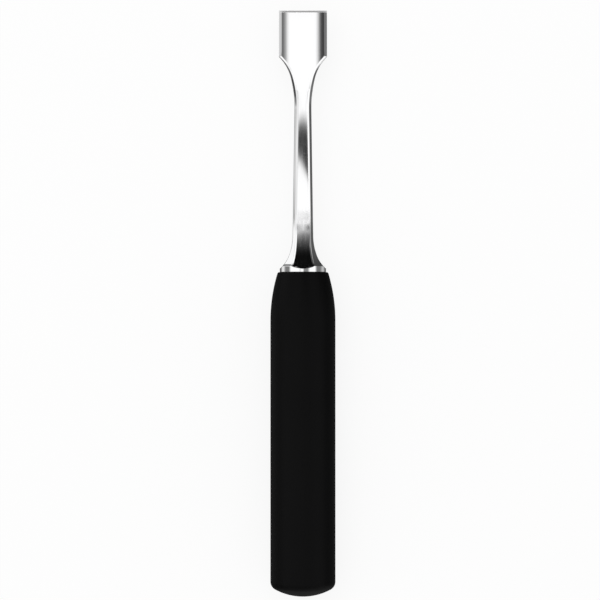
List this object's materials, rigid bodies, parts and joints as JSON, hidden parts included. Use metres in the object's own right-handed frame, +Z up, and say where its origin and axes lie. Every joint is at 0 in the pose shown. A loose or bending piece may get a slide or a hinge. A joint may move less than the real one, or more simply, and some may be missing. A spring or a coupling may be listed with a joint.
{
  "type": "osteotome",
  "caption": "Straight bone chisel: double-ground steel blade, chamfered neck and octagonal bolster with a round flange, held in a smooth turned black handle.",
  "frame": {"origin": "centre of the tool's length and width, on the surface that its handle lies on", "axes": "+Y along the tool towards the cutting edge, +X across the width of the blade, +Z up, square to the blade's faces"},
  "size_m": [0.0222, 0.2, 0.0222],
  "materials": {
    "polished_steel": "polished",
    "black_handle": "satin"
  },
  "bodies": {
    "root": {"blade": "polished_steel", "handle": "black_handle"}
  },
  "joints": []
}
